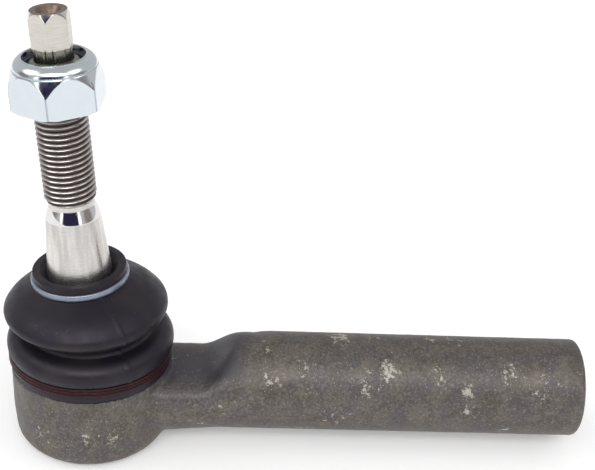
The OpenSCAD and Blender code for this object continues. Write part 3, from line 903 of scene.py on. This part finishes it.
LOWER_FOLD_R, UPPER_FOLD_R = 23.3, 22.6
LOWER_FOLD_Z, LOWER_FOLD_ROUND = 13.7, 4
BOOT_WALL = 1.6
BEAD_R, BEAD_BOTTOM = 22.4, 6.35
CLAMP_R, CLAMP_LOW, CLAMP_HIGH, CLAMP_GROOVE_R = 23.1, 8.7, 11.4, 21.9
VALLEY_R, VALLEY_Z = 17.6, 18.9
RING_R, RING_LOW, RING_HIGH, RING_GROOVE_R = 13.44, 33.0, 34.9, 12.2
BOOT_LIP_R, BOOT_LIP_TOP, BOOT_BEVEL_R = 12.83, 36.8, 10.8
SEAM_ANGLE = -57.0
SEAM_HEIGHT, SEAM_WIDTH = 0.36, 0.5


def boot_lean(z):
    """How far a ring of the boot leans at that height: none on the head, all of the stud's at the lip."""
    return STUD_LEAN * float(smoothstep((z - 14) / (RING_LOW - 14)))


def seam(theta, r, z):
    """The mould's parting line: a thin ridge on two opposite sides."""
    angle = (theta - math.radians(SEAM_ANGLE) + math.pi / 2) % math.pi - math.pi / 2
    return r + SEAM_HEIGHT * np.exp(-(angle * r / SEAM_WIDTH) ** 2)


def boot_lower_profile():
    """The fold that sits on the head: bead, clamp groove and lower lobe, up to the valley."""
    lobe_r = LOWER_FOLD_R - LOWER_FOLD_ROUND
    outside = (rounded([(SPIGOT_R + 0.05, BEAD_BOTTOM + 0.4), (SPIGOT_R + 0.4, BEAD_BOTTOM, 0.2),
                        (BEAD_R, BEAD_BOTTOM, 0.6), (BEAD_R, CLAMP_LOW - 0.05, 0.25),
                        (CLAMP_GROOVE_R, CLAMP_LOW - 0.05), (CLAMP_GROOVE_R, CLAMP_HIGH + 0.05),
                        (BEAD_R + 0.2, CLAMP_HIGH + 0.05, 0.2), (22.95, CLAMP_HIGH + 0.35)])
               + arc(lobe_r, LOWER_FOLD_Z, LOWER_FOLD_ROUND, -22, 88, 20)
               + arc(VALLEY_R + 1, VALLEY_Z, 1, -95, -180, 6))
    wall = BOOT_WALL
    inside = (arc(VALLEY_R + 1, VALLEY_Z, 1 + wall, -180, -95, 6)[:4]
              + arc(lobe_r, LOWER_FOLD_Z, LOWER_FOLD_ROUND - wall, 80, -15, 8)
              + [(SPIGOT_R + 0.05, SPIGOT_TOP + 0.3)])
    return outside + inside


def boot_upper_profile():
    """The fold that follows the stud: valley, upper lobe, ring groove and lip."""
    rim_r = 2.4
    rim = (UPPER_FOLD_R - rim_r, 24.6)
    dome_r = 14.0
    turn = math.radians(35)
    dome = (rim[0] + (rim_r - dome_r) * math.cos(turn), rim[1] + (rim_r - dome_r) * math.sin(turn))
    wall = BOOT_WALL
    groove = RING_GROOVE_R + 0.03
    stem = [(taper_r(RING_LOW - 3) + 0.08, RING_LOW - 3.0),
            (taper_r(BOOT_LIP_TOP - 2) + 0.04, BOOT_LIP_TOP - 2.0)]
    outside = (arc(VALLEY_R + 1, VALLEY_Z, 1, -180, -262, 6)
               + arc(rim[0], rim[1], rim_r, -72, 35, 14)[:-1]
               + arc(dome[0], dome[1], dome_r, 35, 62, 12)
               + rounded([(14.6, 31.75), (13.4, 32.35, 0.5), (groove + 0.4, RING_LOW - 0.1, 0.2),
                          (groove, RING_LOW + 0.1, 0.1), (groove, RING_HIGH + 0.04, 0.1),
                          (BOOT_LIP_R, RING_HIGH + 0.05, 0.15), (BOOT_LIP_R, BOOT_LIP_TOP, 0.35),
                          (BOOT_BEVEL_R, BOOT_LIP_TOP, 0.3), (stem[1][0] + 0.25, stem[1][1] + 0.3, 0.3),
                          stem[1]]))
    inside = ([stem[0], (RING_GROOVE_R - 0.6, RING_LOW - 3.4)]
              + arc(dome[0], dome[1], dome_r - wall, 62, 35, 6)
              + arc(rim[0], rim[1], rim_r - wall, 35, -60, 6)
              + arc(VALLEY_R + 1, VALLEY_Z, 1 + wall, -250, -180, 4))
    return outside + inside


def make_boot(material):
    """The two folds, each turned from its profile and leaning further towards the stud as it rises."""
    folds = (("boot_lower_fold", boot_lower_profile(), ("head", "boot"), CLAMP_HIGH, VALLEY_Z - 0.9),
             ("boot_upper_fold", boot_upper_profile(), ("boot", "boot_collar"), VALLEY_Z + 0.9,
              RING_LOW - 4.2))
    for name, profile, bodies, start, end in folds:
        shell = Shell(320)
        shell.lathe(profile, closed=True, radius_at=seam, lean_at=boot_lean)
        piece = build_piece(name, build_mesh(name, shell), sharp=50)
        paint(piece, material)
        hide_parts("dust_boot")
        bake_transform(piece)


def make_ring(material):
    """Steel band round the boot's neck."""
    shell = Shell(160)
    shell.lathe(rounded([(RING_GROOVE_R + 0.05, RING_LOW, 0.3), (RING_R, RING_LOW, 0.55),
                         (RING_R, RING_HIGH, 0.55), (RING_GROOVE_R + 0.05, RING_HIGH, 0.3)],
                        closed=True), closed=True)
    ring = build_piece("boot_ring", build_mesh("boot_ring", shell), STUD)
    paint(ring, material)
    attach(ring, "boot_collar")
    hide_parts("boot_top_ring")


def make_clamp(material):
    """Three turns of wire laid flat on each other, each stepping up to the next at the back."""
    turns, sides, steps = 3, 12, 160
    wire_r = (CLAMP_HIGH - CLAMP_LOW) / (2 * turns)
    step_share = 0.07
    back = math.radians(105)
    shell = Shell(sides)
    rings = []
    for i in range(turns * steps + 1):
        t = i / steps
        climb = math.floor(t) + float(smoothstep((t % 1 - 1 + step_share) / step_share))
        z = CLAMP_LOW + wire_r + 2 * wire_r * min(climb, turns - 1)
        thin = 0.96 * min(1, 0.35 + min(i, turns * steps - i) / 5)
        around = back + t * TAU
        reach = CLAMP_R - wire_r + wire_r * thin * np.cos(shell.theta)
        rings.append(shell.add(np.stack([reach * math.cos(around), reach * math.sin(around),
                                         z + wire_r * thin * np.sin(shell.theta)], 1)))
    for low, high in zip(rings, rings[1:]):
        for j in range(sides):
            k = (j + 1) % sides
            shell.faces.append((low + j, low + k, high + k, high + j))
    shell.faces.append(tuple(range(rings[0], rings[0] + sides)))
    shell.faces.append(tuple(range(rings[-1], rings[-1] + sides)))
    clamp = build_piece("boot_clamp", build_mesh("boot_clamp", shell))
    paint(clamp, material)
    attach(clamp, "head")
    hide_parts("boot_clamp_wire")


def make_cover(material):
    """Closing plate with its pressed dish, held by the rolled lip."""
    dish_r, dish = 9.0, 0.8
    top, bottom = -COVER_TOP - 0.05, -COVER_BOTTOM + 0.05
    shell = Shell(128)
    shell.lathe(rounded([(0, top - dish), (dish_r - 1, top - dish, 1), (dish_r, top, 1),
                         (COVER_R - 0.02, top, 0.3), (COVER_R - 0.02, bottom, 0.3), (dish_r + 0.6, bottom, 1),
                         (dish_r - 0.4, bottom - dish, 1), (0, bottom - dish)]))
    cover = build_piece("cover", build_mesh("cover", shell))
    paint(cover, material)
    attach(cover, "head")
    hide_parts("cover_plate")


# ---------------------------------------------------------------- studio

def make_floor():
    """Plain white floor that glows a little, so that it stays pale."""
    mesh = bpy.data.meshes.new("floor")
    half = 3.0
    z = FLOOR_Z * MM
    corners = [(-half, -half, z), (half, -half, z), (half, half, z), (-half, half, z)]
    mesh.from_pydata(corners, [], [(0, 1, 2, 3)])
    floor = bpy.data.objects.new("floor", mesh)
    bpy.context.scene.collection.objects.link(floor)
    f = Finish("floor_white", base_color=(0.86, 0.86, 0.86, 1), roughness=0.9, specular_ior_level=0.1,
               emission_color=(1, 1, 1, 1), emission_strength=0.24)
    paint(floor, f.material)


class Sky:
    """Node helper for the studio's surroundings.

    Directions are seen from the object, and azimuth 0 is the camera's.
    """

    def __init__(self):
        world = bpy.data.worlds.new("studio")
        world.use_nodes = True
        self.tree = world.node_tree
        self.background = self.tree.nodes["Background"]
        place = self.tree.nodes.new("ShaderNodeTexCoord")
        turn = self.tree.nodes.new("ShaderNodeVectorRotate")
        turn.rotation_type = "Z_AXIS"
        turn.inputs["Angle"].default_value = -math.radians(CAMERA_AZIMUTH)
        self.tree.links.new(place.outputs["Generated"], turn.inputs["Vector"])
        self.direction = turn.outputs[0]
        bpy.context.scene.world = world

    def ramp(self, stops):
        """Grey levels by the sine of the elevation above the horizon."""
        split = self.tree.nodes.new("ShaderNodeSeparateXYZ")
        self.tree.links.new(self.direction, split.inputs[0])
        node = self.tree.nodes.new("ShaderNodeValToRGB")
        elements = node.color_ramp.elements
        while len(elements) < len(stops):
            elements.new(0.5)
        for element, (position, level) in zip(elements, stops):
            element.position = position
            element.color = (level, level, level, 1)
        self.tree.links.new(split.outputs[2], node.inputs[0])
        return node.outputs[0]

    def patch(self, azimuth, elevation, width, height, core=0.4):
        """One inside an oval patch of the sky, fading to zero at its rim. All sizes are in degrees."""
        turn = self.tree.nodes.new("ShaderNodeMapping")
        turn.vector_type = "TEXTURE"
        turn.inputs["Rotation"].default_value = (-math.radians(elevation), 0, math.radians(azimuth))
        size = self.tree.nodes.new("ShaderNodeMapping")
        size.inputs["Scale"].default_value = (1 / math.sin(math.radians(width)), 0,
                                              1 / math.sin(math.radians(height)))
        length = self.tree.nodes.new("ShaderNodeVectorMath")
        length.operation = "LENGTH"
        split = self.tree.nodes.new("ShaderNodeSeparateXYZ")
        ahead = self.tree.nodes.new("ShaderNodeMath")
        ahead.operation = "LESS_THAN"
        ahead.inputs[1].default_value = 0.0
        fade = self.tree.nodes.new("ShaderNodeMapRange")
        fade.interpolation_type = "SMOOTHSTEP"
        fade.inputs["From Min"].default_value = 1.0
        fade.inputs["From Max"].default_value = core
        both = self.tree.nodes.new("ShaderNodeMath")
        both.operation = "MULTIPLY"
        link = self.tree.links.new
        link(self.direction, turn.inputs["Vector"])
        link(turn.outputs[0], size.inputs["Vector"])
        link(size.outputs[0], length.inputs[0])
        link(length.outputs["Value"], fade.inputs["Value"])
        link(turn.outputs[0], split.inputs[0])
        link(split.outputs[1], ahead.inputs[0])
        link(fade.outputs[0], both.inputs[0])
        link(ahead.outputs[0], both.inputs[1])
        return both.outputs[0]

    def lay(self, under, mask, colour):
        """Colour over what lies under, where the mask is one."""
        node = self.tree.nodes.new("ShaderNodeMix")
        node.data_type = "RGBA"
        self.tree.links.new(mask, node.inputs["Factor"])
        self.tree.links.new(under, node.inputs[6])
        node.inputs[7].default_value = (*colour, 1)
        return node.outputs[2]


def make_world():
    """A pale room with soft boxes above the object and a dark camera side."""
    sky = Sky()
    room = sky.ramp(ROOM_LEVELS)
    room = sky.lay(room, sky.patch(*DARK_SIDE), DARK_SIDE_COLOUR)
    for patch in DIM_SIDES:
        room = sky.lay(room, sky.patch(*patch), DIM_SIDE_COLOUR)
    for patch, level in SOFT_BOXES:
        room = sky.lay(room, sky.patch(*patch), (level, level, level))
    seen = sky.tree.nodes.new("ShaderNodeLightPath").outputs["Is Camera Ray"]
    sky.tree.links.new(sky.lay(room, seen, BACKDROP_COLOUR), sky.background.inputs["Color"])


BACKDROP_COLOUR = (0.96, 0.96, 0.96)
ROOM_LEVELS = ((0.0, 0.64), (0.35, 0.62), (0.62, 0.60), (0.85, 0.58), (1.0, 0.56))
DARK_SIDE = (0, 10, 54, 24, 0.6)
DARK_SIDE_COLOUR = (0.030, 0.026, 0.065)
DIM_SIDES = ((78, 10, 28, 22), (-78, 10, 28, 22))
DIM_SIDE_COLOUR = (0.30, 0.27, 0.26)
SOFT_BOXES = (((0, 46, 44, 13), 6.0), ((-75, 40, 26, 22), 2.4), ((70, 42, 24, 20), 2.0),
              ((-39, 10, 9, 20), 1.8), ((39, 10, 9, 20), 1.8))
CAMERA_TARGET = (0.05767, 0.01565, 0.03968)
CAMERA_DISTANCE = 0.33966
CAMERA_AZIMUTH, CAMERA_ELEVATION, CAMERA_ROLL = -3.673, 28.984, 3.657
CAMERA_LENS = 71.51


def make_camera():
    """The photo's viewpoint. Its place, roll and lens come from a fit to the photo."""
    azimuth, elevation = math.radians(CAMERA_AZIMUTH), math.radians(CAMERA_ELEVATION)
    away = Vector((math.sin(azimuth) * math.cos(elevation), -math.cos(azimuth) * math.cos(elevation),
                   math.sin(elevation)))
    data = bpy.data.cameras.new("camera")
    data.lens = CAMERA_LENS
    data.clip_start = 0.01
    camera = bpy.data.objects.new("camera", data)
    roll = Matrix.Rotation(math.radians(CAMERA_ROLL), 4, "Z")
    turn = away.to_track_quat("Z", "Y").to_matrix().to_4x4() @ roll
    camera.matrix_world = Matrix.Translation(Vector(CAMERA_TARGET) + away * CAMERA_DISTANCE) @ turn
    bpy.context.scene.collection.objects.link(camera)
    bpy.context.scene.camera = camera


def make_studio():
    make_floor()
    make_world()
    bpy.context.scene.view_settings.view_transform = "Standard"
    make_camera()


make_forging(forged_steel())
make_stud({"ground": ground_steel(), "polished": polished_steel(), "matte": matte_steel(),
           "thread": thread_steel(), "neck": dark_neck_steel(), "milled": milled_steel(),
           "hole": centre_hole_steel()})
make_nut(nut_zinc())
make_insert(insert_nylon())
make_boot(boot_rubber())
make_ring(ring_steel())
make_clamp(clamp_wire())
make_cover(plate_steel())
for node_name, node_finish in (("bearing_upper", seat_plastic()), ("bearing_lower", seat_plastic()),
                               ("preload_spring", spring_steel())):
    paint(frame["nodes"][node_name], node_finish)
make_studio()
